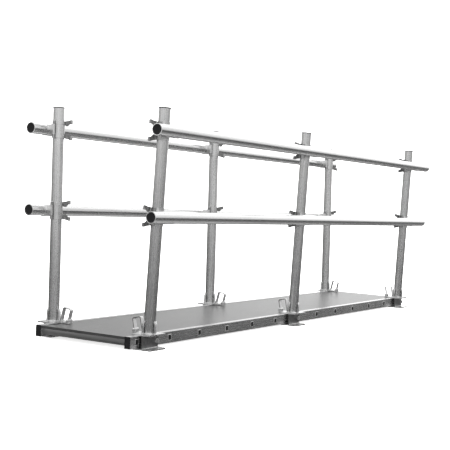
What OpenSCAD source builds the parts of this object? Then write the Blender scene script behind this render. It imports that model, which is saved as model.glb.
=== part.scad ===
// Staging board with a clamp-on double guard rail on both sides.
// +X along the board, +Y across it, +Z up; the origin is the bottom centre of the bounding box.

/* [Board] */
// Board length over the end caps
board_len = 3600; // [2700:1:4800]
// Board width over the two stiles
board_w = 600; // [450:1:750]
// Stile height
stile_h = 60; // [50:1:80]
// Stile width
stile_w = 33; // [25:1:45]
// Stile wall thickness
stile_t = 3; // [2:0.5:5]
// Deck panel thickness
deck_t = 13; // [9:0.5:18]
// Depth of the deck's face below the stile's top
deck_drop = 2.5; // [1:0.5:6]
// Number of hollow rungs
rung_n = 13; // [9:1:17]
// Distance of the first and last rung from the board's ends
rung_end = 60; // [50:1:90]
// Rung width along the board
rung_w = 29; // [20:1:34]
// Rung height
rung_h = 29; // [20:1:35]
// Rung wall thickness
rung_t = 2.5; // [2:0.5:4]
// End member width along the board
end_w = 25; // [15:1:28]
// End member height
end_h = 33; // [25:1:40]

/* [Posts] */
// Tube diameter of posts and rails
tube_d = 60.3; // [48.3:0.1:60.3]
// Tube wall thickness
tube_t = 4; // [2.5:0.1:5]
// First post from the board's end
post_x1 = 150; // [130:1:170]
// Second post from the board's end
post_x2 = 1730; // [1700:1:1750]
// Third post from the board's end
post_x3 = 3500; // [3440:1:3510]
// Post axis outside the stile's outer face
post_out = 8; // [4:1:12]
// Outward lean of the posts in degrees
lean = 1.5; // [0:0.1:3]
// Post top above the stile's top, along the post
post_top = 1132; // [1000:1:1300]

/* [Rails] */
// Top rail height above the stile's top, along the post
rail_hi = 1018.5; // [900:1:1080]
// Middle rail height above the stile's top, along the post
rail_lo = 592; // [450:1:700]
// Distance from post axis to rail axis
rail_off = 63; // [62:0.5:70]
// Rail length
rail_len = 3725; // [3000:1:4800]
// Rail start from the board's end
rail_x0 = 2; // [0:1:60]

/* [Clamp bracket] */
// Bracket length along the board
plate_l = 144; // [140:1:170]
// Top plate thickness
plate_t = 8; // [6:1:10]
// Bottom plate thickness
base_t = 8; // [5:1:10]
// Gap between stile and bottom plate
base_gap = 4; // [3:1:12]
// Top plate reach outside the stile
plate_out = 62; // [55:1:70]
// Top plate reach over the deck, from the stile's outer face
plate_in = 50; // [40:1:60]
// Bottom plate reach outside the stile
base_out = 68; // [60:1:90]
// Web's outer face outside the stile
web_out = 20; // [18:1:26]
// Foot shell radius about the post
shell_r = 38; // [36:0.5:42]
// Foot shell height above the top plate
shell_h = 64; // [50:1:75]

/* [Toe board clip] */
// Clip strap width along the board
clip_w = 26; // [14:1:30]
// Distance between the clip's two legs
clip_span = 48; // [36:1:60]
// Height of the inner leg above its pivot
clip_h = 60; // [45:1:75]
// Inward lean of the clip at rest in degrees
clip_lean = 13; // [5:1:16]
// Clip pivot inside the stile's outer face
clip_y = 86; // [78:1:90]

/* [Coupler] */
// Band height
band_h = 17.5; // [12:0.5:20]
// Band thickness
band_t = 5; // [4:0.5:6]
// Wing reach from the post axis
wing_r = 70; // [60:1:80]
// Distance of the hinge pin from the tube's surface
hinge_gap = 9.85; // [9.5:0.05:12]

/* [Hidden] */
$fn = 64;
eps = 1;
px = [post_x1, post_x2, post_x3];
xc = max(board_len, rail_x0 + rail_len) / 2;
zs = base_t + base_gap + stile_h;
tr = tube_d / 2;
ti = tr - tube_t;
hinge_x = tr + hinge_gap;
seat = 0.05;
run = 0.05;
gap = 0.4;
cap_t = 4;
rung_pitch = (board_len - 2 * rung_end) / (rung_n - 1);
deck_z = -deck_drop - deck_t;
pivot_z = plate_t + 10;
clip_dx = 15;
strap_t = 4;
ear_t = 5;
eye_r = 7.5;
pin_r = 4;
bolt_x = 54;
bolt_z = -33;
web_t = 8;
knuckle_r = 8;

// the stile top's outer edge at the board's left end is the origin here
module board() translate([-xc, -board_w / 2, zs]) children();
// one post position: near side, or far side turned half round
module unit(i, far) {
    if (far) board() translate([px[i], board_w, 0]) rotate([0, 0, 180]) children();
    else board() translate([px[i], 0, 0]) children();
}
// along a post's own axis
module on_post(h) translate([0, -post_out, 0]) rotate([lean, 0, 0]) translate([0, 0, h]) children();
module lying(x0, len, r) translate([x0, 0, 0]) rotate([0, 90, 0]) cylinder(r = r, h = len);
module each_unit() for (i = [0:2]) for (far = [false, true]) unit(i, far) children();
module each_coupler() each_unit() for (h = [rail_hi, rail_lo]) on_post(h) children();

// board
module rung_holes() for (i = [0:rung_n - 1])
    translate([rung_end + i * rung_pitch - rung_w / 2 - 0.1, -eps, -stile_h / 2 - rung_h / 2 - 0.1])
        cube([rung_w + 0.2, board_w + 2 * eps, rung_h + 0.2]);
module stile(y) color([0.62, 0.63, 0.65]) board() difference() {
    translate([cap_t, y, -stile_h]) cube([board_len - 2 * cap_t, stile_w, stile_h]);
    translate([cap_t - eps, y + stile_t, -stile_h + stile_t])
        cube([board_len - 2 * cap_t + 2 * eps, stile_w - 2 * stile_t, stile_h - 2 * stile_t]);
    rung_holes();
}
module stile_near() stile(0);
module stile_far() stile(board_w - stile_w);
module rungs() color([0.6, 0.61, 0.63]) board() for (i = [0:rung_n - 1])
    translate([rung_end + i * rung_pitch, 0, -stile_h / 2]) difference() {
        union() {
            translate([-rung_w / 2, -0.8, -rung_h / 2]) cube([rung_w, board_w + 1.6, rung_h]);
            for (y = [-1.5, board_w]) translate([-rung_w / 2 - 2, y, -rung_h / 2 - 2])
                cube([rung_w + 4, 1.5, rung_h + 4]);
        }
        translate([-rung_w / 2 + rung_t, -5, -rung_h / 2 + rung_t])
            cube([rung_w - 2 * rung_t, board_w + 10, rung_h - 2 * rung_t]);
    }
module end_member(x) color([0.55, 0.56, 0.58]) board() translate([x, stile_w, deck_z - end_h]) difference() {
    cube([end_w, board_w - 2 * stile_w, end_h]);
    translate([2.5, -eps, 2.5]) cube([end_w - 5, board_w - 2 * stile_w + 2 * eps, end_h - 5]);
}
module end_member_left() end_member(18);
module end_member_right() end_member(board_len - 18 - end_w);
module deck_panel() color([0.4, 0.41, 0.42]) board() translate([8, stile_w + 0.5, deck_z])
    cube([board_len - 16, board_w - 2 * stile_w - 1, deck_t]);
module stile_caps() color([0.06, 0.06, 0.07]) board() for (y = [0, board_w - stile_w]) {
    for (x = [0, board_len - cap_t]) translate([x, y, -stile_h]) cube([cap_t, stile_w, stile_h]);
    for (x = [cap_t - 0.5, board_len - cap_t - 13.5])
        translate([x, y + stile_t + 0.2, -stile_h + stile_t + 0.2])
            cube([14, stile_w - 2 * stile_t - 0.4, stile_h - 2 * stile_t - 0.4]);
}

// posts
module post(i, far) color([0.66, 0.67, 0.69]) unit(i, far) on_post(plate_t + 0.7) difference() {
    cylinder(r = tr, h = post_top - plate_t - 0.7);
    translate([0, 0, -eps]) cylinder(r = ti, h = post_top);
}
module post_n1() post(0, false);
module post_n2() post(1, false);
module post_n3() post(2, false);
module post_f1() post(0, true);
module post_f2() post(1, true);
module post_f3() post(2, true);
module post_caps() color([0.08, 0.08, 0.09]) each_unit() on_post(post_top) {
    cylinder(r = tr + 2.2, h = 5);
    translate([0, 0, -14]) cylinder(r = ti - 0.1, h = 15);
}

// clamp brackets
module bracket(i, far) {
    side = far ? -1 : 1;
    color([0.6, 0.61, 0.63]) unit(i, far) difference() {
        union() {
            translate([-plate_l / 2, -plate_out, 0]) cube([plate_l, plate_out + plate_in, plate_t]);
            translate([-plate_l / 2, -base_out, -zs]) cube([plate_l, base_out + 38, base_t]);
            translate([-plate_l / 2, -web_out, -zs + base_t - 0.5]) cube([plate_l - 6, web_t, zs - base_t + 1]);
            // weld ring and two shells round the post's foot
            on_post(plate_t - 1) {
                cylinder(r = tr + 3, h = 6);
                for (a = [40, 220]) rotate([0, 0, a]) rotate_extrude(angle = 100)
                    polygon([[shell_r - 4, 0], [shell_r, 0], [shell_r, shell_h - 12], [tr + 4, shell_h],
                        [tr - 2, shell_h], [tr - 2, shell_h - 4], [shell_r - 4, shell_h - 15]]);
            }
            // tongue and ears that carry the clip's pivot
            translate([side * clip_dx - clip_w / 2 - ear_t - gap, 0, 0]) {
                translate([0, plate_in - 1, 0]) cube([clip_w + 2 * ear_t + 2 * gap, clip_y + 10 - plate_in, plate_t]);
                for (x = [0, clip_w + ear_t + 2 * gap]) translate([x, clip_y, 0]) {
                    translate([0, -8, plate_t - 1]) cube([ear_t, 16, pivot_z - plate_t + 1]);
                    translate([0, 0, pivot_z]) lying(0, ear_t, 8);
                }
            }
        }
        on_post(plate_t) cylinder(r = tr + seat, h = 200);
        at_bolt() translate([0, 0, web_out - web_t - eps]) cylinder(r = 6.5, h = web_t + 2 * eps);
        translate([side * clip_dx - 40, clip_y, pivot_z]) lying(0, 80, pin_r + 0.02);
    }
}
module bracket_n1() bracket(0, false);
module bracket_n2() bracket(1, false);
module bracket_n3() bracket(2, false);
module bracket_f1() bracket(0, true);
module bracket_f2() bracket(1, true);
module bracket_f3() bracket(2, true);
// along a clamp screw's axis, outward from the stile's web
module at_bolt() translate([bolt_x, 0, bolt_z]) rotate([90, 0, 0]) children();
module clamp_bolts() color([0.5, 0.51, 0.53]) each_unit() at_bolt() {
    translate([0, 0, 2]) cylinder(r = 6, h = web_out + 2);
    translate([0, 0, web_out + 2.5]) cylinder(r = 10.97, h = 8, $fn = 6);
}
module clamp_nuts() color([0.5, 0.51, 0.53]) each_unit() at_bolt() translate([0, 0, 3]) difference() {
    cylinder(r = 10.97, h = web_out - web_t - 3, $fn = 6);
    translate([0, 0, -eps]) cylinder(r = 6.02, h = 12);
}
module clamp_washers() color([0.55, 0.56, 0.58]) each_unit() at_bolt() translate([0, 0, web_out])
    difference() {
        cylinder(r = 12, h = 2.5);
        translate([0, 0, -eps]) cylinder(r = 6.5, h = 5);
    }
module clamp_pads() color([0.1, 0.1, 0.1]) each_unit()
    translate([-60, 4, -zs + base_t]) cube([120, 25, base_gap]);

// toe board clips
module clip_frame(far) translate([(far ? -1 : 1) * clip_dx, clip_y, pivot_z]) children();
module clip_pins() color([0.45, 0.46, 0.48]) for (i = [0:2]) for (far = [false, true])
    unit(i, far) clip_frame(far) {
        lying(-clip_w / 2 - ear_t - 1, clip_w + 2 * ear_t + 2, pin_r);
        for (x = [-clip_w / 2 - ear_t - gap - 3.4, clip_w / 2 + ear_t + gap + 0.4]) lying(x, 3, 6.5);
    }
// hooped strap: the inner leg is hinged, the outer leg's foot stands just above the plate
module clip(i, far) color([0.3, 0.31, 0.33]) unit(i, far) clip_frame(far) rotate([-clip_lean, 0, 0]) {
    foot = (gap - 10 - clip_span * sin(clip_lean)) / cos(clip_lean) + 1;
    rc = 10;
    ri = rc - strap_t;
    translate([-clip_w / 2, 0, 0]) difference() {
        union() {
            translate([0, -strap_t / 2, 0]) cube([clip_w, strap_t, clip_h - rc]);
            translate([0, -clip_span - strap_t / 2, foot]) cube([clip_w, strap_t, clip_h - rc - foot]);
            translate([0, -clip_span - strap_t / 2 + rc, clip_h - strap_t])
                cube([clip_w, clip_span + strap_t - 2 * rc, strap_t]);
            for (y = [-clip_span - strap_t / 2 + rc, strap_t / 2 - rc]) translate([0, y, clip_h - rc])
                difference() {
                    lying(0, clip_w, rc);
                    lying(-eps, clip_w + 2 * eps, ri);
                    translate([-eps, -rc - eps, -rc - eps]) cube([clip_w + 2 * eps, 2 * rc + 2 * eps, rc + eps]);
                    translate([-eps, y < -clip_span / 2 ? 0 : -rc - eps, -eps])
                        cube([clip_w + 2 * eps, rc + eps, rc + 2 * eps]);
                }
            lying(0, clip_w, eye_r);
        }
        lying(-eps, clip_w + 2 * eps, pin_r + run);
    }
}
module clip_n1() clip(0, false);
module clip_n2() clip(1, false);
module clip_n3() clip(2, false);
module clip_f1() clip(0, true);
module clip_f2() clip(1, true);
module clip_f3() clip(2, true);

// guard rails
module at_rail(far, h) unit_rail(far) on_post(h) translate([0, -rail_off, 0]) children();
module unit_rail(far) {
    if (far) board() translate([rail_x0 + rail_len, board_w, 0]) rotate([0, 0, 180]) children();
    else board() translate([rail_x0, 0, 0]) children();
}
module rail(far, h) color([0.72, 0.73, 0.75]) at_rail(far, h) difference() {
    lying(0, rail_len, tr);
    lying(-eps, rail_len + 2 * eps, ti);
}
module rail_near_top() rail(false, rail_hi);
module rail_near_mid() rail(false, rail_lo);
module rail_far_top() rail(true, rail_hi);
module rail_far_mid() rail(true, rail_lo);
module rail_plugs() color([0.05, 0.05, 0.06])
    for (far = [false, true]) for (h = [rail_hi, rail_lo]) at_rail(far, h)
        for (x = [1.5, rail_len - 15.5]) lying(x, 14, ti - 0.05);

// couplers
module ring(a0, sweep, r0, r1, h) rotate([0, 0, a0]) rotate_extrude(angle = sweep)
    translate([r0, 0]) square([r1 - r0, h]);
module both_bands() for (s = [0, 1]) mirror([0, 0, s]) translate([0, 0, 27 + gap]) children();
module lug(a, r0, r1, t, h) rotate([0, 0, a]) translate([r0, -t / 2, 0]) cube([r1 - r0, t, h]);
module saddle() difference() {
    union() {
        translate([-39, -rail_off + tr - 1.5, -27]) cube([78, rail_off - tr - 9.5, 54]);
        translate([hinge_x - 8, -14, -27]) cube([14, 14.5, 54]);
        translate([hinge_x, 0, -27]) cylinder(r = knuckle_r, h = 54);
        both_bands() {
            translate([0, 0, -1]) ring(147, 188, tr - 3, tr + band_t + 0.3, band_h + 1);
            lug(153, tr + 2, 46, band_t, band_h);
        }
        translate([0, 0, -28]) ring(148, 30, tr - 3, tr + band_t - 0.4, 56);
        // open cradle round the rail
        translate([-39.5, -rail_off, 0]) rotate([90, 0, 90]) ring(-130, 190, tr - 3, tr + 4.6, 79);
    }
    translate([0, 0, -100]) cylinder(r = tr + seat, h = 200);
    translate([-100, -rail_off, 0]) rotate([0, 90, 0]) cylinder(r = tr + seat, h = 200);
    translate([hinge_x, 0, -50]) cylinder(r = pin_r + 0.02, h = 100);
}
module saddles(far, h) color([0.58, 0.59, 0.61]) for (i = [0:2]) unit(i, far) on_post(h) saddle();
module saddles_near_top() saddles(false, rail_hi);
module saddles_near_mid() saddles(false, rail_lo);
module saddles_far_top() saddles(true, rail_hi);
module saddles_far_mid() saddles(true, rail_lo);
module hinge_pins() color([0.45, 0.46, 0.48]) each_coupler() translate([hinge_x, 0, 0]) {
    translate([0, 0, -27 - gap - band_h - 1]) cylinder(r = pin_r, h = 2 * (28 + gap + band_h));
    for (s = [0, 1]) mirror([0, 0, s]) translate([0, 0, 27 + 2 * gap + band_h]) cylinder(r = 6.5, h = 3);
}
module flap(i, far, h) color([0.5, 0.51, 0.53]) unit(i, far) on_post(h) difference() {
    union() {
        both_bands() {
            ring(0, 132, tr - 3, tr + 0.4 + band_t, band_h);
            translate([hinge_x, 0, 0]) cylinder(r = knuckle_r, h = band_h);
            translate([tr + 2, 1, 0]) cube([hinge_x - tr - 2, 6, band_h]);
            lug(132, tr + 1, wing_r, band_t, band_h);
            // hooked wing tip
            rotate([0, 0, 132]) translate([wing_r - 9, -band_t / 2 + 0.3, -9]) cube([9, band_t - 0.6, 10]);
            rotate([0, 0, 132]) translate([wing_r - 3, 0, -8]) cylinder(r = 6, h = band_h + 6);
        }
        for (a = [107, 28]) translate([0, 0, -28]) ring(a, 24, tr - 3, tr + band_t - 0.2, 56);
    }
    translate([0, 0, -100]) cylinder(r = tr + 0.4, h = 200);
    translate([hinge_x, 0, -50]) cylinder(r = pin_r + run, h = 100);
    translate([hinge_x, 0, -27 - gap / 2]) cylinder(r = knuckle_r + 0.5, h = 2 * 27 + gap);
}
module flap_n1_top() flap(0, false, rail_hi);
module flap_n1_mid() flap(0, false, rail_lo);
module flap_n2_top() flap(1, false, rail_hi);
module flap_n2_mid() flap(1, false, rail_lo);
module flap_n3_top() flap(2, false, rail_hi);
module flap_n3_mid() flap(2, false, rail_lo);
module flap_f1_top() flap(0, true, rail_hi);
module flap_f1_mid() flap(0, true, rail_lo);
module flap_f2_top() flap(1, true, rail_hi);
module flap_f2_mid() flap(1, true, rail_lo);
module flap_f3_top() flap(2, true, rail_hi);
module flap_f3_mid() flap(2, true, rail_lo);

stile_near();
stile_far();
rungs();
end_member_left();
end_member_right();
deck_panel();
stile_caps();
post_n1();
post_n2();
post_n3();
post_f1();
post_f2();
post_f3();
post_caps();
bracket_n1();
bracket_n2();
bracket_n3();
bracket_f1();
bracket_f2();
bracket_f3();
clamp_bolts();
clamp_nuts();
clamp_washers();
clamp_pads();
clip_pins();
clip_n1();
clip_n2();
clip_n3();
clip_f1();
clip_f2();
clip_f3();
rail_near_top();
rail_near_mid();
rail_far_top();
rail_far_mid();
rail_plugs();
saddles_near_top();
saddles_near_mid();
saddles_far_top();
saddles_far_mid();
hinge_pins();
flap_n1_top();
flap_n1_mid();
flap_n2_top();
flap_n2_mid();
flap_n3_top();
flap_n3_mid();
flap_f1_top();
flap_f1_mid();
flap_f2_top();
flap_f2_mid();
flap_f3_top();
flap_f3_mid();
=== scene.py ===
"""Looks of the staging board with double guard rails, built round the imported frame."""

import math

import bmesh
import bpy
from mathutils import Matrix, Vector


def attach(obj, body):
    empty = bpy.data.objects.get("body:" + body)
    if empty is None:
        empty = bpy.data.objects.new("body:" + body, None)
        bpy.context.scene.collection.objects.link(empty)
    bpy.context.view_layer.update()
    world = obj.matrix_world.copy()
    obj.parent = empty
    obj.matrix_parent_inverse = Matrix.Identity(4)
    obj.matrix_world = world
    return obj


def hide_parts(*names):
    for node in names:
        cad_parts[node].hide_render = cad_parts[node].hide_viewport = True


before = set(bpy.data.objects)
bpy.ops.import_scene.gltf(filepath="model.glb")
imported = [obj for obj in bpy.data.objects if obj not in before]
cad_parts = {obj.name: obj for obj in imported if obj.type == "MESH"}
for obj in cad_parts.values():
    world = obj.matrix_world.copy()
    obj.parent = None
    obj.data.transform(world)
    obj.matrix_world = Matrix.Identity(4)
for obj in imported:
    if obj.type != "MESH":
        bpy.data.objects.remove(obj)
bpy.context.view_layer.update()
scene = bpy.context.scene

# ---------------------------------------------------------------- sizes, in millimetres
MM = 0.001
GAP = 0.4

# board
BOARD_LEN, BOARD_W = 3600.0, 600.0
STILE_W, STILE_H = 33.0, 60.0
CAP_T, CAP_TONGUE, CAP_INSET = 4.0, 13.0, 7.0
DECK_DROP, DECK_T, DECK_END = 2.5, 13.0, 8.0
RUNG_N, RUNG_END, RUNG_W, RUNG_H = 13, 60.0, 29.0, 29.0
RUNG_LIP_T = 1.3
END_W, END_H, END_T, END_X = 25.0, 33.0, 2.5, 18.0

# posts and rails
TUBE_R, TUBE_I = 30.15, 26.15
POST_X = (150.0, 1730.0, 3500.0)
POST_OUT, LEAN, POST_TOP, POST_LIFT = 8.0, 1.5, 1132.0, 0.7
RAIL_H = {"top": 1018.5, "mid": 592.0}
RAIL_OFF, RAIL_LEN, RAIL_X0 = 63.0, 3725.0, 2.0

# clamp brackets
PLATE_HALF, PLATE_OUT, PLATE_IN, PLATE_T = 72.0, 62.0, 50.0, 8.0
PLATE_CORNER, TONGUE_FILLET, TONGUE_CORNER, TONGUE_REACH = 8.0, 6.0, 4.0, 10.0
BASE_OUT, BASE_IN, BASE_T, BASE_GAP = 68.0, 38.0, 8.0, 4.0
BASE_CORNER_OUT, BASE_CORNER_IN = 10.0, 6.0
WEB_OUT, WEB_T, WEB_SHORT, SINK = 20.0, 8.0, 6.0, 0.4
SHELL_R, SHELL_H, SHELL_T, SHELL_STARTS = 38.0, 64.0, 4.0, (75, 255)
WELD_RING, WELD_WEB, WELD_SHELL, WELD_STEP, WELD_STEPS = 2.8, 2.0, 1.9, 1.6, 82
PAD_L, PAD_W = 120.0, 25.0
BOLT_X, BOLT_Z, BOLT_R, HEX_R, HEX_H, PITCH = 54.0, -33.0, 6.0, 10.97, 8.0, 1.8
WASHER_R, WASHER_T = 12.0, 2.5

# toe board clips
CLIP_DX, CLIP_Y, CLIP_LEAN = 15.0, 86.0, 13.0
CLIP_W, CLIP_SPAN, CLIP_H, CLIP_T, CLIP_BEND = 26.0, 48.0, 60.0, 4.0, 10.0
EAR_T, EAR_R, PIVOT_UP = 5.0, 8.0, 10.0
PIN_R, PIN_HEAD_R = 4.0, 6.5

# couplers
HINGE_X, KNUCKLE_R = TUBE_R + 9.85, 8.0
CORE_HALF, JACKET_HALF, BLOCK_HALF, CRADLE_HALF = 27.0, 28.0, 39.0, 39.5
BAND_T, BAND_H, WRAP_T, SEAT = 5.0, 17.5, 2.6, 0.05
LUG_AT, LUG_R, WING_AT, WING_R, TIP_R = 153, 45.5, 132, 70.0, 7.8

ZS = BASE_T + BASE_GAP + STILE_H
XC = max(BOARD_LEN, RAIL_X0 + RAIL_LEN) / 2
BAND_Z = CORE_HALF + GAP


# ---------------------------------------------------------------- frames
def shift(x=0.0, y=0.0, z=0.0):
    return Matrix.Translation((x, y, z))


def turn(deg, axis):
    return Matrix.Rotation(math.radians(deg), 4, axis)


BOARD = shift(-XC, -BOARD_W / 2, ZS)


def unit(i, far):
    """The frame of one post's bracket: X along the board, Y inward, Z up."""
    if far:
        return BOARD @ shift(POST_X[i], BOARD_W, 0) @ turn(180, "Z")
    return BOARD @ shift(POST_X[i], 0, 0)


def on_post(h):
    """From a bracket's frame to its post's axis, h up along the leaning post."""
    return shift(0, -POST_OUT, 0) @ turn(LEAN, "X") @ shift(0, 0, h)


def rail_frame(far, h):
    """The frame of a rail: Z runs along its axis from one end."""
    if far:
        start = BOARD @ shift(RAIL_X0 + RAIL_LEN, BOARD_W, 0) @ turn(180, "Z")
    else:
        start = BOARD @ shift(RAIL_X0, 0, 0)
    return start @ on_post(h) @ shift(0, -RAIL_OFF, 0) @ turn(90, "Y")


def metres(m):
    m = m.copy()
    m.translation = m.translation * MM
    return m


UNITS = [(i, far) for i in range(3) for far in (False, True)]


def tag(i, far):
    return ("f" if far else "n") + str(i + 1)


# ---------------------------------------------------------------- outlines (millimetres)
def polar(r, deg):
    return r * math.cos(math.radians(deg)), r * math.sin(math.radians(deg))


def arc(cx, cy, r, a0, a1, step=6.0):
    n = max(2, int(abs(a1 - a0) / step) + 1)
    pts = [polar(r, a0 + (a1 - a0) * k / n) for k in range(n + 1)]
    return [(cx + x, cy + y) for x, y in pts]


def round_rect(w, h, r, n=5):
    pts = []
    for sx, sy, a in ((1, 1, 0), (-1, 1, 90), (-1, -1, 180), (1, -1, 270)):
        for k in range(n + 1):
            x, y = polar(r, a + 90 * k / n)
            pts.append((sx * (w / 2 - r) + x, sy * (h / 2 - r) + y))
    return pts


def circle_path(r, z, n=72):
    return [Vector((*polar(r, 360 * k / n), z)) for k in range(n + 1)]


def tube_profile(r, ri, length, c=0.6):
    low = [(ri, c), (ri + c, 0), (r - c, 0), (r, c)]
    return low + [(q, length - z) for q, z in reversed(low)]


def both_ends(half):
    """A lathe profile made symmetrical about z = 0 from its upper half, axis first."""
    return [(r, -z) for r, z in half] + half[::-1]


def sleeve(r_in, r_out, z0, z1, c=0.4):
    return [(r_in, z0), (r_out - c, z0), (r_out, z0 + c), (r_out, z1 - c), (r_out - c, z1), (r_in, z1)]


# ---------------------------------------------------------------- mesh tools (local millimetres)
def place_verts(verts, m):
    if m is not None:
        for v in verts:
            v.co = m @ v.co


def paint(bm, first, index):
    """Gives every face from number first onward one material."""
    bm.faces.ensure_lookup_table()
    for f in bm.faces[first:]:
        f.material_index = index


def add_box(bm, low, high):
    size = Vector(high) - Vector(low)
    for v in bmesh.ops.create_cube(bm, size=1.0)["verts"]:
        v.co = Vector([a + (c + 0.5) * s for a, c, s in zip(low, v.co, size)])


def add_prism(bm, outline, z0, z1, m=None):
    """A closed outline of (x, y) points, counter-clockwise, stood up from z0 to z1."""
    low = [bm.verts.new((x, y, z0)) for x, y in outline]
    high = [bm.verts.new((x, y, z1)) for x, y in outline]
    n = len(outline)
    bm.faces.new(low[::-1])
    bm.faces.new(high)
    for k in range(n):
        bm.faces.new((low[k], low[(k + 1) % n], high[(k + 1) % n], high[k]))
    place_verts(low + high, m)


def add_lathe(bm, profile, segs=64, m=None, closed=False):
    """A profile of (r, z) points turned about Z. A radius of 0 closes on the axis."""
    rings = []
    for r, z in profile:
        if r <= 1e-6:
            rings.append([bm.verts.new((0, 0, z))])
        else:
            rings.append([bm.verts.new((*polar(r, 360 * k / segs), z)) for k in range(segs)])
    pairs = list(zip(rings, rings[1:]))
    if closed:
        pairs.append((rings[-1], rings[0]))
    for a, b in pairs:
        for k in range(segs):
            j = (k + 1) % segs
            face = [a[0]] if len(a) == 1 else [a[k], a[j]]
            face += [b[0]] if len(b) == 1 else [b[j], b[k]]
            if len(face) > 2:
                bm.faces.new(face)
    place_verts([v for ring in rings for v in ring], m)


def thicken(path, t):
    """The two sides of a strip of thickness t along a path of (x, y) points."""
    left, right = [], []
    for k, p in enumerate(path):
        a = path[max(k - 1, 0)]
        b = path[min(k + 1, len(path) - 1)]
        d = Vector((b[0] - a[0], b[1] - a[1]))
        d.normalize()
        n = Vector((-d.y, d.x)) * (t / 2)
        left.append((p[0] + n.x, p[1] + n.y))
        right.append((p[0] - n.x, p[1] - n.y))
    return right, left


def add_strip(bm, path, t, z0, z1, m=None, side_mat=0):
    """A flat strip along a path in XY. side_mat is the material of its two long edges."""
    before = len(bm.faces)
    rows = []
    for (rx, ry), (lx, ly) in zip(*thicken(path, t)):
        corners = ((rx, ry, z0), (rx, ry, z1), (lx, ly, z1), (lx, ly, z0))
        rows.append([bm.verts.new(p) for p in corners])
    for a, b in zip(rows, rows[1:]):
        for k in range(4):
            j = (k + 1) % 4
            bm.faces.new((a[k], b[k], b[j], a[j]))
    bm.faces.new(rows[0])
    bm.faces.new(rows[-1][::-1])
    if side_mat:
        bm.faces.ensure_lookup_table()
        for f in bm.faces[before:]:
            heights = [v.co.z for v in f.verts]
            if max(heights) - min(heights) < 1e-6:
                f.material_index = side_mat
    place_verts([v for row in rows for v in row], m)


def add_loft(bm, sections, m=None, caps=True):
    """Sections are lists of 3-D points with one count; faces join each to the next."""
    rings = [[bm.verts.new(p) for p in s] for s in sections]
    for a, b in zip(rings, rings[1:]):
        join_rings(bm, a, b)
    if caps:
        bm.faces.new(rings[0][::-1])
        bm.faces.new(rings[-1])
    place_verts([v for ring in rings for v in ring], m)
    return rings


def join_rings(bm, a, b):
    for k in range(len(a)):
        j = (k + 1) % len(a)
        bm.faces.new((a[k], a[j], b[j], b[k]))


def weld_bead(bm, path, r, m=None):
    """A rippled weld bead along a 3-D path, thin at its two ends."""
    sections = []
    last = len(path) - 1
    round_it = [math.radians(45 * q) for q in range(8)]
    for k, p in enumerate(path):
        d = (Vector(path[min(k + 1, last)]) - Vector(path[max(k - 1, 0)])).normalized()
        side = d.cross(Vector((0, 0, 1)))
        side = side.normalized() if side.length > 1e-4 else Vector((1, 0, 0))
        up = side.cross(d).normalized()
        rr = r * (0.86 + 0.24 * abs(math.sin(k * 1.31))) * (0.35 if k in (0, last) else 1.0)
        sections.append([Vector(p) + side * rr * math.cos(t) + up * rr * math.sin(t) for t in round_it])
    add_loft(bm, sections, m)


BEVEL_ANGLE, SMOOTH_ANGLE = 35, 38


def finish_mesh(name, bm, matrix, mats, body, stands_for, bevel=0.0):
    """Turns the mesh into one piece that rides on a body and stands for a CAD node."""
    bmesh.ops.recalc_face_normals(bm, faces=bm.faces)
    for v in bm.verts:
        v.co *= MM
    me = bpy.data.meshes.new(name)
    bm.to_mesh(me)
    bm.free()
    ob = bpy.data.objects.new(name, me)
    scene.collection.objects.link(ob)
    for mat in mats:
        me.materials.append(mat)
    for p in me.polygons:
        p.use_smooth = True
    me.set_sharp_from_angle(angle=math.radians(SMOOTH_ANGLE))
    ob.matrix_world = metres(matrix)
    if bevel:
        b = ob.modifiers.new("edge", "BEVEL")
        b.width = bevel * MM
        b.segments = 2
        b.limit_method = "ANGLE"
        b.angle_limit = math.radians(BEVEL_ANGLE)
        b.harden_normals = True
    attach(ob, body)
    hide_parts(stands_for)


# ---------------------------------------------------------------- camera
CAMERA_AT = Vector((-6046.2, -3289.7, 774.7))
CAMERA_YAW, CAMERA_PITCH, CAMERA_ROLL = 59.3, -1.47, 2.91
SENSOR, LENS = 36.0, 84.2328


def set_camera():
    cam = bpy.data.objects.new("cam", bpy.data.cameras.new("cam"))
    scene.collection.objects.link(cam)
    scene.camera = cam
    yaw, pitch, roll = (math.radians(a) for a in (CAMERA_YAW, CAMERA_PITCH, CAMERA_ROLL))
    ahead = (math.sin(yaw) * math.cos(pitch), math.cos(yaw) * math.cos(pitch), math.sin(pitch))
    ahead = Vector(ahead)
    level = Vector((math.cos(yaw), -math.sin(yaw), 0))
    up = level.cross(ahead)
    right = level * math.cos(roll) + up * math.sin(roll)
    up = up * math.cos(roll) - level * math.sin(roll)
    m = Matrix.Identity(4)
    for row in range(3):
        m[row] = (right[row], up[row], -ahead[row], CAMERA_AT[row] * MM)
    cam.matrix_world = m
    cam.data.sensor_width = SENSOR
    cam.data.lens = LENS
    cam.data.clip_end = 200.0
    cam.data.dof.use_dof = False


set_camera()


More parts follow.
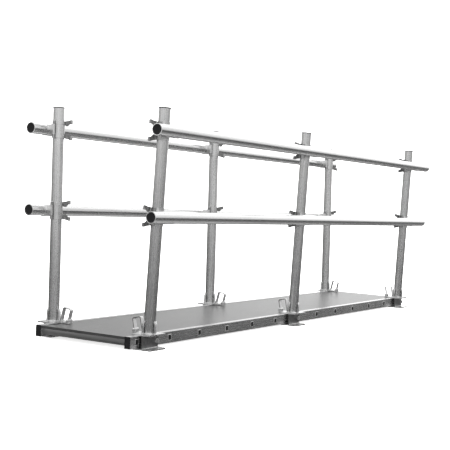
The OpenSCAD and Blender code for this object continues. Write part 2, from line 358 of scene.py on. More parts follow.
# ---------------------------------------------------------------- materials
class Nodes:
    """Short names for building one node material."""

    def __init__(self, name):
        self.mat = bpy.data.materials.new(name)
        self.mat.use_nodes = True
        self.tree = self.mat.node_tree
        self.tree.nodes.clear()
        out = self.tree.nodes.new("ShaderNodeOutputMaterial")
        self.bsdf = self.tree.nodes.new("ShaderNodeBsdfPrincipled")
        self.link(self.bsdf.outputs[0], out.inputs[0])
        self.coord = self.tree.nodes.new("ShaderNodeTexCoord")

    def link(self, a, b):
        self.tree.links.new(a, b)

    def stretched(self, sx=1, sy=1, sz=1):
        n = self.tree.nodes.new("ShaderNodeMapping")
        n.inputs["Scale"].default_value = (sx, sy, sz)
        self.link(self.coord.outputs["Object"], n.inputs["Vector"])
        return n.outputs[0]

    def noise(self, vector, scale, detail=4.0, rough=0.55):
        n = self.tree.nodes.new("ShaderNodeTexNoise")
        n.inputs["Scale"].default_value = scale
        n.inputs["Detail"].default_value = detail
        n.inputs["Roughness"].default_value = rough
        self.link(vector, n.inputs["Vector"])
        return n.outputs["Fac"]

    def ramp(self, fac, *stops):
        n = self.tree.nodes.new("ShaderNodeValToRGB")
        els = n.color_ramp.elements
        while len(els) < len(stops):
            els.new(0.5)
        for e, (pos, c) in zip(els, stops):
            e.position = pos
            e.color = (c, c, c, 1) if isinstance(c, (int, float)) else (*c, 1)
        self.link(fac, n.inputs[0])
        return n.outputs[0]

    def mix(self, fac, a, b):
        n = self.tree.nodes.new("ShaderNodeMix")
        n.data_type = "RGBA"
        for q, val in ((0, fac), (6, a), (7, b)):
            if isinstance(val, (int, float)):
                n.inputs[q].default_value = val
            elif isinstance(val, tuple):
                n.inputs[q].default_value = (*val, 1)
            else:
                self.link(val, n.inputs[q])
        return n.outputs[2]

    def bump(self, height, strength, dist):
        n = self.tree.nodes.new("ShaderNodeBump")
        n.inputs["Strength"].default_value = strength
        n.inputs["Distance"].default_value = dist
        self.link(height, n.inputs["Height"])
        return n.outputs[0]

    def put(self, socket, value):
        s = self.bsdf.inputs[socket]
        if isinstance(value, tuple):
            s.default_value = (*value, 1)
        elif isinstance(value, (int, float)):
            s.default_value = value
        else:
            self.link(value, s)


def grey(v):
    return (v, v, v)


def metal(name, dark, light, rough, grain, metallic=0.97, spot=0.1):
    """Drawn or plated metal: grain is the stretch of its lines, (x, y, z) cycles a metre."""
    n = Nodes(name)
    lines = n.noise(n.stretched(*grain), 1.0, 5.0, 0.6)
    cloud = n.noise(n.stretched(), 7.2, 4.0, 0.6)
    fine = n.noise(n.stretched(), 900.0, 3.0, 0.6)
    both = n.mix(0.25, lines, cloud)
    colour = n.ramp(both, (0.34, grey(dark)), (0.66, grey(light)))
    if spot:
        pits = n.ramp(n.noise(n.stretched(), 420.0, 2.0, 0.5), (0.68, 0.0), (0.76, spot))
        colour = n.mix(pits, colour, grey(dark * 0.45))
    n.put("Base Color", colour)
    n.put("Metallic", metallic)
    n.put("Roughness", n.ramp(n.mix(0.25, both, fine), (0.35, rough[0]), (0.65, rough[1])))
    n.put("Normal", n.bump(n.mix(0.12, lines, fine), 0.06, 0.0004))
    return n.mat


M_RAIL = metal("rail_alloy", 0.64, 0.78, (0.15, 0.22), (380, 380, 2.5))
M_POST = metal("post_alloy", 0.48, 0.64, (0.22, 0.30), (420, 420, 3.0))
M_STILE = metal("stile_alloy", 0.48, 0.62, (0.22, 0.32), (2.0, 260, 260))
M_RUNG = metal("rung_alloy", 0.55, 0.75, (0.3, 0.45), (120, 2.0, 120), 0.9)
# the rung's inside bore is the rung's alloy painted near black: painted shade inside the hollow
M_RUNG_BORE_SHADE = metal("rung_bore_painted_shade", 0.03, 0.07, (0.5, 0.7), (60, 3.0, 60), 0.6, spot=0)
M_MEMBER = metal("member_alloy", 0.24, 0.36, (0.26, 0.38), (120, 2.0, 120))
M_PLATE = metal("plate_zinc", 0.50, 0.76, (0.2, 0.36), (25, 25, 25), spot=0.15)
M_CLAW = metal("claw_zinc", 0.09, 0.22, (0.26, 0.4), (60, 60, 60), 0.9, spot=0)
M_PRESS = metal("press_zinc", 0.22, 0.42, (0.2, 0.34), (40, 40, 40), 0.95, spot=0.15)
M_STRAP = metal("strap_zinc", 0.55, 0.75, (0.3, 0.45), (60, 60, 60), 0.9)
# the bracket web is the plates' zinc painted dark: painted shade under the top plate's overhang
M_WEB_PAINTED_SHADE = metal("web_zinc_painted_shade", 0.10, 0.20, (0.3, 0.45), (60, 60, 60), 0.9)
M_BAND = metal("band_zinc", 0.46, 0.64, (0.24, 0.34), (300, 300, 4.0), 0.95)
# the clip strap's long edges get a near-black copy of the strap's zinc: painted shade
M_STRAP_EDGE_SHADE = metal("strap_edge_painted_shade", 0.06, 0.12, (0.4, 0.55), (60, 60, 60), 0.8, spot=0)
M_BOLT = metal("bolt_zinc", 0.60, 0.80, (0.25, 0.4), (80, 80, 80), 0.95)


def plastic(name, base, rough, scale):
    n = Nodes(name)
    cloud = n.noise(n.stretched(), 35.0, 4.0, 0.6)
    grain = n.noise(n.stretched(), scale, 3.0, 0.6)
    shades = [tuple(c * k for c in base) for k in (0.8, 1.35)]
    n.put("Base Color", n.ramp(cloud, (0.3, shades[0]), (0.7, shades[1])))
    n.put("Roughness", n.ramp(grain, (0.3, rough - 0.08), (0.7, rough + 0.1)))
    n.put("Normal", n.bump(grain, 0.25, 0.0003))
    n.put("Specular IOR Level", 0.2)
    return n.mat


M_BLACK = plastic("black_plastic", (0.004, 0.004, 0.0045), 0.5, 1400.0)
M_RUBBER = plastic("pad_rubber", grey(0.02), 0.75, 900.0)


def deck_material():
    """A grey film face with small raised anti-slip dots and long scuffs."""
    n = Nodes("deck_film")
    cells = n.tree.nodes.new("ShaderNodeTexVoronoi")
    cells.inputs["Scale"].default_value = 260.0
    cells.inputs["Randomness"].default_value = 0.25
    n.link(n.stretched(), cells.inputs["Vector"])
    dots = cells.outputs["Distance"]
    cloud = n.noise(n.stretched(1.0, 3.0, 3.0), 5.0, 5.0, 0.6)
    scuff = n.noise(n.stretched(3.0, 40.0, 3.0), 4.0, 5.0, 0.65)
    fine = n.noise(n.stretched(), 700.0, 3.0, 0.6)
    base = n.ramp(n.mix(0.5, cloud, scuff), (0.32, grey(0.05)), (0.68, grey(0.09)))
    n.put("Base Color", n.mix(n.ramp(dots, (0.0, 0.35), (0.5, 0.0)), base, grey(0.13)))
    n.put("Roughness", n.ramp(n.mix(0.5, scuff, fine), (0.3, 0.26), (0.7, 0.40)))
    n.put("Normal", n.bump(n.ramp(dots, (0.05, 1.0), (0.45, 0.0)), 0.35, 0.0006))
    return n.mat


M_DECK = deck_material()
# the deck's sides, ends and underside are near black
M_EDGE = plastic("deck_dark_edges", grey(0.018), 0.6, 500.0)


# ---------------------------------------------------------------- board
def dress_stiles():
    """The CAD meshes stay; they get metal and softly broken edges."""
    for name in ("stile_near", "stile_far"):
        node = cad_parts[name]
        node.data.materials.clear()
        node.data.materials.append(M_STILE)
        weld = node.modifiers.new("weld", "WELD")
        weld.merge_threshold = 0.00002
        b = node.modifiers.new("edge", "BEVEL")
        b.width = 1.2 * MM
        b.segments = 3
        b.limit_method = "ANGLE"
        b.angle_limit = math.radians(50)


def mirrored(half):
    """Steps given from the near end outward, repeated from the far end."""
    return list(half) + [(BOARD_W - y, grow) for y, grow in reversed(half)]


def make_rungs():
    """Hollow rungs whose ends are flared over the stiles' outer faces."""
    flare = mirrored([(-1.5, 1.1), (-1.1, 1.9), (-0.4, 2.0), (0.0, 1.2), (0.3, 0.0), (40, 0.0)])
    bore = mirrored([(-1.5, 0.0), (-0.6, -0.9), (6, -1.2)])
    pitch = (BOARD_LEN - 2 * RUNG_END) / (RUNG_N - 1)
    bm = bmesh.new()
    for k in range(RUNG_N):
        m = shift(RUNG_END + k * pitch, 0, -STILE_H / 2)
        outer, inner = [], []
        for y, grow in flare:
            outline = round_rect(RUNG_W + 2 * grow, RUNG_H + 2 * grow, 3.0 + grow)
            outer.append([m @ Vector((x, y, z)) for x, z in outline])
        for y, grow in bore:
            in_by = 2 * (grow - RUNG_LIP_T)
            outline = round_rect(RUNG_W + in_by, RUNG_H + in_by, 2 * RUNG_LIP_T)
            inner.append([m @ Vector((x, y, z)) for x, z in outline])
        outside = add_loft(bm, outer, caps=False)
        before = len(bm.faces)
        # the inside of each rung takes the near-black bore colour, painted shade in the hollow
        inside = add_loft(bm, inner, caps=False)
        paint(bm, before, 1)
        for end in (0, -1):
            before = len(bm.faces)
            join_rings(bm, outside[end], inside[end])
            paint(bm, before, 0)
    finish_mesh("rung_set", bm, BOARD, [M_RUNG, M_RUNG_BORE_SHADE], "frame", "rungs")


def make_end_members():
    mid = -DECK_DROP - DECK_T - END_H / 2
    for name, x in (("end_member_left", END_X), ("end_member_right", BOARD_LEN - END_X - END_W)):
        bm = bmesh.new()
        walls = []
        for grow in (0.0, -END_T):
            outline = round_rect(END_W + 2 * grow, END_H + 2 * grow, 2.4 + grow * 0.5)
            rows = []
            for y in (STILE_W, BOARD_W - STILE_W):
                rows.append([Vector((x + END_W / 2 + px, y, mid + pz)) for px, pz in outline])
            walls.append(add_loft(bm, rows, caps=False))
        for end in (0, 1):
            join_rings(bm, walls[0][end], walls[1][end])
        finish_mesh(name + "_tube", bm, BOARD, [M_MEMBER], "frame", name)


def make_deck():
    """One panel: film on its top face, near-black on the rest."""
    bm = bmesh.new()
    side = STILE_W + 0.5
    low = (DECK_END, side, -DECK_DROP - DECK_T)
    add_box(bm, low, (BOARD_LEN - DECK_END, BOARD_W - side, -DECK_DROP))
    for f in bm.faces:
        on_top = abs(f.calc_center_median().z + DECK_DROP) < 0.1
        f.material_index = 0 if on_top else 1
    mats = [M_DECK, M_EDGE]
    finish_mesh("deck_sheet", bm, BOARD, mats, "frame", "deck_panel", bevel=1.0)


def make_stile_caps():
    # depth into the cap, and how much narrower than the stile it is there
    steps = [(0.0, 6), (0.0, 3.2), (0.9, 0.8), (1.6, 0), (CAP_T, 0), (CAP_T, CAP_INSET)]
    steps.append((CAP_T + CAP_TONGUE, CAP_INSET))
    bm = bmesh.new()
    for x, to_face in ((0.0, Matrix.Identity(4)), (BOARD_LEN, turn(180, "Z"))):
        for y in (STILE_W / 2, BOARD_W - STILE_W / 2):
            base = shift(x, y, -STILE_H / 2) @ to_face @ turn(90, "Y") @ turn(90, "Z")
            rows = []
            for z, less in steps:
                outline = round_rect(STILE_W - less, STILE_H - less, 2.0)
                rows.append([Vector((px, py, z)) for px, py in outline])
            add_loft(bm, rows, m=base)
    finish_mesh("stile_cap_set", bm, BOARD, [M_BLACK], "frame", "stile_caps")


dress_stiles()
make_rungs()
make_end_members()
make_deck()
make_stile_caps()


# ---------------------------------------------------------------- posts and rails
def cap_profile():
    """A flanged cap: a slightly hollow top, a rolled flange, a ribbed plug inside the tube."""
    flange = TUBE_R + 2.2
    top = [(0, 4.2), (15, 4.3), (21, 4.7), (TUBE_R + 0.2, 5.0), (TUBE_R + 1.6, 4.4), (flange, 3.4)]
    under = [(flange, 1.0), (TUBE_R + 1.6, 0.05), (TUBE_I - 0.2, 0.02), (TUBE_I - 0.5, -3)]
    return top + under + [(TUBE_I - 0.2, -6), (TUBE_I - 0.7, -9), (TUBE_I - 1.0, -14), (0, -14)]


def plug_profile():
    """A flat plug set a little inside the tube's end."""
    edge = TUBE_I - 0.1
    face = [(0, 2.6), (8, 2.5), (edge - 4, 2.2), (edge - 1.7, 1.7), (edge - 0.9, 1.5), (edge, 1.9)]
    return face + [(edge, 15.5), (0, 15.5)]


def make_posts():
    for i, far in UNITS:
        t = tag(i, far)
        low = PLATE_T + POST_LIFT
        bm = bmesh.new()
        add_lathe(bm, tube_profile(TUBE_R, TUBE_I, POST_TOP - low), 96, closed=True)
        place = unit(i, far) @ on_post(low)
        finish_mesh("post_tube_" + t, bm, place, [M_POST], "frame", "post_" + t)
        bm = bmesh.new()
        add_lathe(bm, cap_profile(), 72)
        place = unit(i, far) @ on_post(POST_TOP)
        finish_mesh("post_cap_" + t, bm, place, [M_BLACK], "frame", "post_caps")


def make_rails():
    for side in ("near", "far"):
        for k, h in RAIL_H.items():
            place = rail_frame(side == "far", h)
            name = f"{side}_{k}"
            bm = bmesh.new()
            add_lathe(bm, tube_profile(TUBE_R, TUBE_I, RAIL_LEN), 96, closed=True)
            finish_mesh("rail_tube_" + name, bm, place, [M_RAIL], "frame", "rail_" + name)
            bm = bmesh.new()
            for end in (None, shift(0, 0, RAIL_LEN) @ turn(180, "X")):
                add_lathe(bm, plug_profile(), 72, m=end)
            finish_mesh("rail_plug_" + name, bm, place, [M_BLACK], "frame", "rail_plugs")


make_posts()
make_rails()


# ---------------------------------------------------------------- clamp brackets
def add_top_plate(bm, dx):
    """The top plate and the tongue that carries the clip's ears, as one outline."""
    half = CLIP_W / 2 + EAR_T + GAP
    c, f, t = PLATE_CORNER, TONGUE_FILLET, TONGUE_CORNER
    end = CLIP_Y + TONGUE_REACH - t
    out = arc(PLATE_HALF - c, -PLATE_OUT + c, c, -90, 0, 15)
    out += arc(PLATE_HALF - c, PLATE_IN - c, c, 0, 90, 15)
    out += arc(dx + half + f, PLATE_IN + f, f, -90, -180, 15)
    out += arc(dx + half - t, end, t, 0, 90, 15)
    out += arc(dx - half + t, end, t, 90, 180, 15)
    out += arc(dx - half - f, PLATE_IN + f, f, 0, -90, 15)
    out += arc(-PLATE_HALF + c, PLATE_IN - c, c, 90, 180, 15)
    out += arc(-PLATE_HALF + c, -PLATE_OUT + c, c, 180, 270, 15)
    add_prism(bm, out, 0, PLATE_T)


def add_base_and_web(bm):
    a, b = BASE_CORNER_OUT, BASE_CORNER_IN
    out = arc(PLATE_HALF - a, -BASE_OUT + a, a, -90, 0, 15)
    out += arc(PLATE_HALF - b, BASE_IN - b, b, 0, 90, 15)
    out += arc(-PLATE_HALF + b, BASE_IN - b, b, 90, 180, 15)
    out += arc(-PLATE_HALF + a, -BASE_OUT + a, a, 180, 270, 15)
    add_prism(bm, out, -ZS, -ZS + BASE_T)
    left, right = -PLATE_HALF, PLATE_HALF - WEB_SHORT
    low, high = -ZS + BASE_T - SINK, SINK
    # the web takes the dark web colour, painted shade under the top plate
    before = len(bm.faces)
    web = [(left, low), (right, low), (right, high), (left, high)]
    add_prism(bm, web, WEB_OUT - WEB_T, WEB_OUT, m=turn(90, "X"))
    paint(bm, before, 1)


def add_shells(bm, foot):
    """Two foot shells whose shoulders close on the post."""
    inner = SHELL_R - SHELL_T
    section = [(inner, 0.6), (SHELL_R, 0.6), (SHELL_R, SHELL_H - 14), (SHELL_R - 1.2, SHELL_H - 10)]
    section += [(TUBE_R + 4, SHELL_H - 1), (TUBE_R + 2.6, SHELL_H), (TUBE_R + 0.2, SHELL_H)]
    section += [(TUBE_R + 0.2, SHELL_H - 4), (inner, SHELL_H - 15)]
    for a0 in SHELL_STARTS:
        rows = []
        for k in range(19):
            rows.append([Vector((*polar(r, a0 + 5 * k), z)) for r, z in section])
        add_loft(bm, rows, m=foot)


def add_ears(bm, dx):
    ear = [(-EAR_R, -0.5), (EAR_R, -0.5)] + arc(0, PIVOT_UP, EAR_R, 0, 180, 12)
    for s in (-1, 1):
        at = shift(dx + s * (CLIP_W / 2 + GAP + EAR_T / 2), CLIP_Y, PLATE_T)
        add_prism(bm, ear, -EAR_T / 2, EAR_T / 2, m=at @ turn(90, "Z") @ turn(90, "X"))


def add_welds(bm, foot):
    """Round the post's foot, along both edges of the web and round each shell."""
    weld_bead(bm, circle_path(TUBE_R + 1.6, 2.4), WELD_RING, m=foot)
    start = 4 - PLATE_HALF
    for z in (-ZS + BASE_T + 0.6, -0.6):
        run = [Vector((start + q * WELD_STEP, -WEB_OUT - 0.3, z)) for q in range(WELD_STEPS)]
        weld_bead(bm, run, WELD_WEB)
    for a0 in SHELL_STARTS:
        bead = arc(0, 0, SHELL_R + 0.4, a0 + 2, a0 + 88, 2.5)
        weld_bead(bm, [Vector((x, y, 1.6)) for x, y in bead], WELD_SHELL, m=foot)


def make_pad(i, far):
    """The rubber pad between stile and bottom plate."""
    steps = ((-ZS + BASE_T, 1.0), (-ZS + BASE_T + 0.6, 0), (-STILE_H - 0.6, 0), (-STILE_H, 1.0))
    bm = bmesh.new()
    rows = []
    for z, less in steps:
        outline = round_rect(PAD_L - less, PAD_W - less, 3)
        rows.append([Vector((x, STILE_W / 2 + y, z)) for x, y in outline])
    add_loft(bm, rows)
    name = "clamp_pad_" + tag(i, far)
    finish_mesh(name, bm, unit(i, far), [M_RUBBER], "frame", "clamp_pads")


def make_brackets():
    foot = on_post(PLATE_T - 1)
    for i, far in UNITS:
        node = "bracket_" + tag(i, far)
        dx = -CLIP_DX if far else CLIP_DX
        bm = bmesh.new()
        add_top_plate(bm, dx)
        add_base_and_web(bm)
        add_shells(bm, foot)
        add_ears(bm, dx)
        add_welds(bm, foot)
        mats = [M_PLATE, M_WEB_PAINTED_SHADE]
        finish_mesh(node + "_body", bm, unit(i, far), mats, "frame", node, bevel=0.9)
        make_pad(i, far)


# ---------------------------------------------------------------- clamp screws
def add_hexagon(bm, r, z0, z1):
    """A hexagon with its corners chamfered, between z0 and z1."""
    rows = []
    for z, k in ((z0, 0.93), (z0 + 0.9, 1.0), (z1 - 0.9, 1.0), (z1, 0.93)):
        pts = []
        for a in range(0, 360, 15):
            flat = r * math.cos(math.radians(30)) / math.cos(math.radians((a % 60) - 30))
            pts.append(Vector((*polar(min(flat, r * k / 0.985), a), z)))
        rows.append(pts)
    add_loft(bm, rows)


def screw_profile():
    """A threaded shaft from inside the web to under the head."""
    under_head = WEB_OUT + WASHER_T + 0.1
    out = [(0, 2), (BOLT_R - 0.8, 2), (BOLT_R, 3)]
    z = 3.0
    while z < WEB_OUT - WEB_T - 1:
        out += [(BOLT_R - 0.65, z + PITCH / 2), (BOLT_R, z + PITCH)]
        z += PITCH
    return out + [(BOLT_R, under_head), (0, under_head)]


def make_fasteners():
    head = WEB_OUT + WASHER_T
    z0, z1, r = WEB_OUT, WEB_OUT + WASHER_T, WASHER_R
    washer = [(6.4, z0), (r - 0.4, z0), (r, z0 + 0.5), (r, z1 - 0.5), (r - 0.4, z1), (6.4, z1)]
    for i, far in UNITS:
        t = tag(i, far)
        place = unit(i, far) @ shift(BOLT_X, 0, BOLT_Z) @ turn(90, "X")
        bm = bmesh.new()
        add_lathe(bm, screw_profile(), 32)
        add_hexagon(bm, HEX_R, head, head + HEX_H)
        finish_mesh("clamp_screw_" + t, bm, place, [M_BOLT], "frame", "clamp_bolts")
        bm = bmesh.new()
        add_hexagon(bm, HEX_R, 3, WEB_OUT - WEB_T)
        finish_mesh("clamp_nut_" + t, bm, place, [M_BOLT], "frame", "clamp_nuts")
        bm = bmesh.new()
        add_lathe(bm, washer, 48, closed=True)
        finish_mesh("clamp_washer_" + t, bm, place, [M_BOLT], "frame", "clamp_washers")


make_brackets()
make_fasteners()


# ---------------------------------------------------------------- toe board clips
def hoop_path():
    """One leg up from the pivot, over and down to the plate, as (y, z) points."""
    lean = math.radians(CLIP_LEAN)
    foot = (GAP - PIVOT_UP - CLIP_SPAN * math.sin(lean)) / math.cos(lean) + 1
    r = CLIP_BEND - CLIP_T / 2
    bend_z = CLIP_H - 2 - r
    path = [(0, 6.5), (0, bend_z)]
    path += arc(-r, bend_z, r, 0, 90, 10)
    path += arc(-CLIP_SPAN + r, bend_z, r, 90, 180, 10)
    return path + [(-CLIP_SPAN, foot + 3), (-CLIP_SPAN, foot)]


def make_clips():
    w = CLIP_W / 2
    e = w + EAR_T
    up = [(0, e + 4.0), (4.5, e + 3.8), (6.3, e + 2.4), (PIN_HEAD_R, e + 0.4), (PIN_R, e + 0.4)]
    bore = PIN_R + 0.05
    eye = [(bore, -w), (7.2, -w), (7.5, -w + 0.4), (7.5, w - 0.4), (7.2, w), (bore, w)]
    for i, far in UNITS:
        t = tag(i, far)
        dx = -CLIP_DX if far else CLIP_DX
        pivot = unit(i, far) @ shift(dx, CLIP_Y, PLATE_T + PIVOT_UP)
        bm = bmesh.new()
        add_lathe(bm, both_ends(up), 40, m=turn(90, "Y"))
        finish_mesh("clip_pin_" + t, bm, pivot, [M_BOLT], "frame", "clip_pins")
        bm = bmesh.new()
        # the strap's long edges take the near-black edge colour, painted shade
        add_strip(bm, hoop_path(), CLIP_T, -w, w, m=turn(90, "Y") @ turn(90, "Z"), side_mat=1)
        add_lathe(bm, eye, 48, m=turn(90, "Y"), closed=True)
        place = pivot @ turn(-CLIP_LEAN, "X")
        node = "clip_" + t
        finish_mesh("clip_strap_" + t, bm, place, [M_STRAP, M_STRAP_EDGE_SHADE], node, node, bevel=0.8)


make_clips()


# ---------------------------------------------------------------- couplers
def wrap(bm, a0, a1, z0, z1, r=TUBE_R + SEAT, mat=1, m=None):
    """A thin strip bent round a tube from angle a0 to a1."""
    before = len(bm.faces)
    add_strip(bm, arc(0, 0, r + WRAP_T / 2, a0, a1, 5), WRAP_T, z0, z1, m=m)
    paint(bm, before, mat)


def add_block(bm):
    """The hour-glass block between post and rail, hollowed to the rail."""
    rows = []
    for x, g in ((-BLOCK_HALF, 1.0), (1 - BLOCK_HALF, 0.0), (BLOCK_HALF - 1, 0.0), (BLOCK_HALF, 1.0)):
        pts = arc(-RAIL_OFF, 0, TUBE_R + 0.1, 58 - g, -58 + g, 8)
        pts += [(-14 - g, g - CORE_HALF), (-12 - g, g + 3 - CORE_HALF)]
        pts += [(-12 - g, CORE_HALF - 3 - g), (-14 - g, CORE_HALF - g)]
        rows.append([Vector((x, y, z)) for y, z in pts])
    add_loft(bm, rows)


def saddle_mesh():
    """The fixed half: two lugs, half bands, jacket, block, hinge barrel and rail cradle."""
    bm = bmesh.new()
    r_mid = TUBE_R + SEAT + BAND_T / 2
    for s in (1, -1):
        za, zb = sorted((s * (BAND_Z - 1), s * (BAND_Z + BAND_H)))
        lug = [polar(r, LUG_AT) for r in (TUBE_R + 7.1, TUBE_R + 11, LUG_R)]
        add_strip(bm, arc(0, 0, r_mid, 200, LUG_AT - 1, 5) + lug, BAND_T, za, zb)
        wrap(bm, 335, 200, za, zb)
    wrap(bm, 149, 177, -JACKET_HALF, JACKET_HALF)
    before = len(bm.faces)
    add_block(bm)
    arm = [(-9, -14), (4, -14), (6, -12), (6, 0), (-7.6, 0), (-9, -4)]
    add_prism(bm, [(HINGE_X + x, y) for x, y in arm], -CORE_HALF, CORE_HALF)
    barrel = sleeve(PIN_R + 0.02, KNUCKLE_R, -CORE_HALF, CORE_HALF)
    add_lathe(bm, barrel, 40, m=shift(HINGE_X, 0, 0), closed=True)
    paint(bm, before, 1)
    cradle = shift(-CRADLE_HALF, -RAIL_OFF, 0) @ turn(90, "Y") @ turn(90, "Z")
    wrap(bm, 60, -130, 0, 2 * CRADLE_HALF, mat=2, m=cradle)
    return bm


def add_wing(bm, s):
    """A wing that climbs away from the post and ends in a rolled tip. s is 1 above, -1 below."""
    # distance from the post's axis, lower and upper edge, thickness
    steps = [(TUBE_R + 0.6, 27.6, 45, 3.2), (TUBE_R + 7, 20, 47, 5.0), (50, 19, 49, 6.0)]
    steps += [(58, 28, 52, 6.0), (WING_R - 4, 36, 54, 5.0)]
    d = Vector(polar(1, WING_AT))
    n = Vector((-d.y, d.x))
    rows = []
    for r, lo, hi, t in steps:
        a, b = d * r + n * (t / 2), d * r - n * (t / 2)
        lo, hi = sorted((s * lo, s * hi))
        rows.append([Vector((p.x, p.y, z)) for p, z in ((a, lo), (b, lo), (b, hi), (a, hi))])
    before = len(bm.faces)
    add_loft(bm, rows)
    paint(bm, before, 2)
    tip_at = d * (WING_R - 3)
    z0, z1 = sorted((s * 32.0, s * 54.5))
    tip = [(0, z0), (TIP_R - 2.4, z0), (TIP_R, z0 + 2.4), (TIP_R, z1 - 2.4), (TIP_R - 2.4, z1), (0, z1)]
    add_lathe(bm, tip, 28, m=shift(tip_at.x, tip_at.y, 0))


def flap_mesh():
    """The hinged half: two bands with knuckles and wings, joined by two jacket strips."""
    bm = bmesh.new()
    r_in = TUBE_R + GAP
    for s in (1, -1):
        za, zb = sorted((s * BAND_Z, s * (BAND_Z + BAND_H)))
        wrap(bm, 10, 126, za, zb, r=r_in)
        add_strip(bm, [(HINGE_X - 6, 4.5), (TUBE_R + 2.4, 6.6)], 4.4, za, zb)
        add_wing(bm, s)
        knuckle = sleeve(PIN_R + 0.05, KNUCKLE_R, za, zb)
        add_lathe(bm, knuckle, 40, m=shift(HINGE_X, 0, 0), closed=True)
    for a in (107, 30):
        wrap(bm, a + 2, a + 20, -JACKET_HALF, JACKET_HALF, r=r_in)
    return bm


def make_couplers():
    e = CORE_HALF + 2 * GAP + BAND_H
    up = [(0, e + 3), (4.6, e + 2.8), (6.3, e + 1.6), (PIN_HEAD_R, e), (PIN_R, e)]
    for side in ("near", "far"):
        for k, h in RAIL_H.items():
            for i in range(3):
                far = side == "far"
                t = f"{tag(i, far)}_{k}"
                place = unit(i, far) @ on_post(h)
                mats = [M_PRESS, M_BAND, M_RAIL]
                name, node = "saddle_" + t, f"saddles_{side}_{k}"
                finish_mesh(name, saddle_mesh(), place, mats, "frame", node, bevel=0.8)
                mats = [M_PRESS, M_BAND, M_CLAW]
                node = "flap_" + t
                finish_mesh(node + "_press", flap_mesh(), place, mats, node, node, bevel=0.8)
                bm = bmesh.new()
                add_lathe(bm, both_ends(up), 36, m=shift(HINGE_X, 0, 0))
                name = "hinge_pin_" + t
                finish_mesh(name, bm, place, [M_BOLT], "frame", "hinge_pins")


make_couplers()


# ---------------------------------------------------------------- stage (metres)
def paper(name, glow):
    n = Nodes(name)
    cloud = n.noise(n.stretched(), 2.0, 3.0, 0.5)
    n.put("Base Color", n.ramp(cloud, (0.3, 0.93), (0.7, 0.95)))
    n.put("Roughness", 0.9)
    n.put("Emission Color", (1.0, 1.0, 0.995))
    n.put("Emission Strength", glow)
    return n.mat


def sweep(name, profile, glow):
    """A surface turned about the object's axis, from (radius, height) points."""
    bm = bmesh.new()
    add_lathe(bm, profile, 96)
    bmesh.ops.reverse_faces(bm, faces=bm.faces)
    me = bpy.data.meshes.new(name)
    bm.to_mesh(me)
    bm.free()
    ob = bpy.data.objects.new(name, me)
    scene.collection.objects.link(ob)
    me.materials.append(paper(name + "_paper", glow))
    for p in me.polygons:
        p.use_smooth = True
    ob.visible_glossy = False
    return ob


FLOOR_R, COVE_R, WALL_TOP = 16.0, 9.0, 40.0
FLOOR_GLOW, WALL_GLOW = 0.75, 1.0


def make_stage():
    sweep("studio_floor", [(0, 0.0), (6.0, 0.0), (FLOOR_R, 0.0)], FLOOR_GLOW)
    # the wall only closes the view, it neither lights nor shades
    side = [(FLOOR_R - 0.1, 0.002)] + arc(FLOOR_R, COVE_R, COVE_R, -90, 0, 6)
    wall = sweep("studio_wall", side + [(FLOOR_R + COVE_R, WALL_TOP)], WALL_GLOW)
    wall.visible_diffuse = False
    wall.visible_shadow = False


make_stage()


# ---------------------------------------------------------------- light
# brightness against height, towards the open side, and towards the window side
SKY_STOPS = ((-1.0, 0.62), (-0.6, 0.48), (-0.4, 0.16), (-0.2, 0.10), (-0.1, 0.12), (-0.02, 0.36),
             (0.05, 0.95), (0.14, 1.15), (0.35, 1.3), (1.0, 1.5))
ROOM_STOPS = ((-1.0, 1.45), (-0.8, 1.15), (-0.45, 0.7), (0.0, 0.72), (0.5, 1.0), (1.0, 1.15))
WINDOW_STOPS = ((-1.0, 0.3), (-0.5, 0.3), (-0.1, 0.52), (0.1, 1.05), (0.3, 1.35), (1.0, 1.35))
OPEN_SIDE, WINDOW_SIDE = (-0.86, -0.51, 0.0), (0.51, -0.86, 0.0)

# name, place, size in metres, watts
LAMPS = (("key_soft", (-2.0, -3.0, 7.0), 7.0, 260.0), ("back_soft", (4.0, 5.0, 6.0), 6.0, 200.0))
AIM = Vector((0, 0, 0.4))
# the sun's direction, width in radians and strength
SUN_TOWARD, SUN_ANGLE, SUN_ENERGY = Vector((0.62, 0.36, -0.7)), 1.4, 1.6


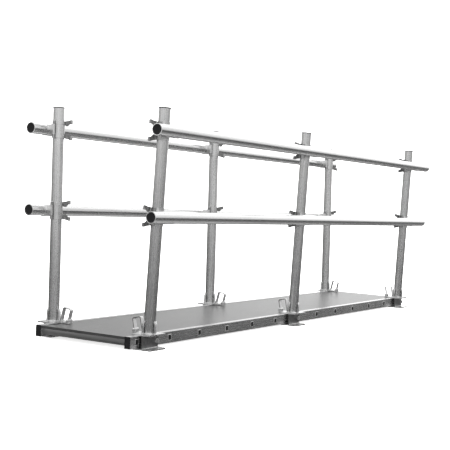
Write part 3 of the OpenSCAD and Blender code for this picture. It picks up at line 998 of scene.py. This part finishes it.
class WorldNodes:
    """The world's node tree: one grey value from the direction alone."""

    def __init__(self, world):
        world.use_nodes = True
        self.tree = world.node_tree
        self.tree.nodes.clear()
        out = self.tree.nodes.new("ShaderNodeOutputWorld")
        self.background = self.tree.nodes.new("ShaderNodeBackground")
        self.background.inputs[1].default_value = 1.0
        coord = self.tree.nodes.new("ShaderNodeTexCoord")
        self.direction = coord.outputs["Generated"]
        self.tree.links.new(self.background.outputs[0], out.inputs[0])

    def height(self):
        n = self.tree.nodes.new("ShaderNodeSeparateXYZ")
        self.tree.links.new(self.direction, n.inputs[0])
        return n.outputs[2]

    def along(self, toward):
        n = self.tree.nodes.new("ShaderNodeVectorMath")
        n.operation = "DOT_PRODUCT"
        n.inputs[1].default_value = toward
        self.tree.links.new(self.direction, n.inputs[0])
        return n.outputs["Value"]

    def graded(self, value, low, high, kind="SMOOTHSTEP"):
        n = self.tree.nodes.new("ShaderNodeMapRange")
        n.interpolation_type = kind
        n.inputs["From Min"].default_value = low
        n.inputs["From Max"].default_value = high
        self.tree.links.new(value, n.inputs[0])
        return n.outputs[0]

    def stepped(self, value, stops):
        """Brightness by stops that run from -1 to 1."""
        n = self.tree.nodes.new("ShaderNodeValToRGB")
        els = n.color_ramp.elements
        while len(els) < len(stops):
            els.new(0.5)
        for e, (at, v) in zip(els, stops):
            e.position = (at + 1) / 2
            e.color = (v, v, v, 1)
        self.tree.links.new(self.graded(value, -1.0, 1.0, "LINEAR"), n.inputs[0])
        return n.outputs[0]

    def blend(self, fac, a, b):
        """From the socket a to the plain number b."""
        n = self.tree.nodes.new("ShaderNodeMix")
        self.tree.links.new(fac, n.inputs[0])
        self.tree.links.new(a, n.inputs[2])
        n.inputs[3].default_value = b
        return n.outputs[0]

    def times(self, a, b):
        n = self.tree.nodes.new("ShaderNodeMath")
        n.operation = "MULTIPLY"
        self.tree.links.new(a, n.inputs[0])
        self.tree.links.new(b, n.inputs[1])
        return n.outputs[0]


def make_world():
    world = bpy.data.worlds.new("studio")
    scene.world = world
    n = WorldNodes(world)
    # dark low band, white from just above the horizon, paler floor far below
    sky = n.stepped(n.height(), SKY_STOPS)
    # the room is brighter on its open side
    toward = n.along(OPEN_SIDE)
    room = n.stepped(toward, ROOM_STOPS)
    # behind the object it grows brighter towards one side
    window = n.stepped(n.along(WINDOW_SIDE), WINDOW_STOPS)
    window = n.blend(n.graded(toward, -0.9, -0.3), window, 1.0)
    n.tree.links.new(n.times(n.times(sky, room), window), n.background.inputs[0])


def add_light(name, light, direction):
    ob = bpy.data.objects.new(name, light)
    scene.collection.objects.link(ob)
    ob.rotation_euler = direction.to_track_quat("-Z", "Y").to_euler()
    ob.visible_glossy = False
    return ob


def make_lamps():
    for name, loc, size, power in LAMPS:
        lamp = bpy.data.lights.new(name, "AREA")
        lamp.size = size
        lamp.energy = power
        add_light(name, lamp, AIM - Vector(loc)).location = loc
    sun = bpy.data.lights.new("fill_soft", "SUN")
    sun.energy = SUN_ENERGY
    sun.angle = SUN_ANGLE
    add_light("fill_soft", sun, SUN_TOWARD)


make_world()
make_lamps()
scene.view_settings.view_transform = "Standard"
scene.view_settings.look = "None"
scene.view_settings.exposure = 0.0
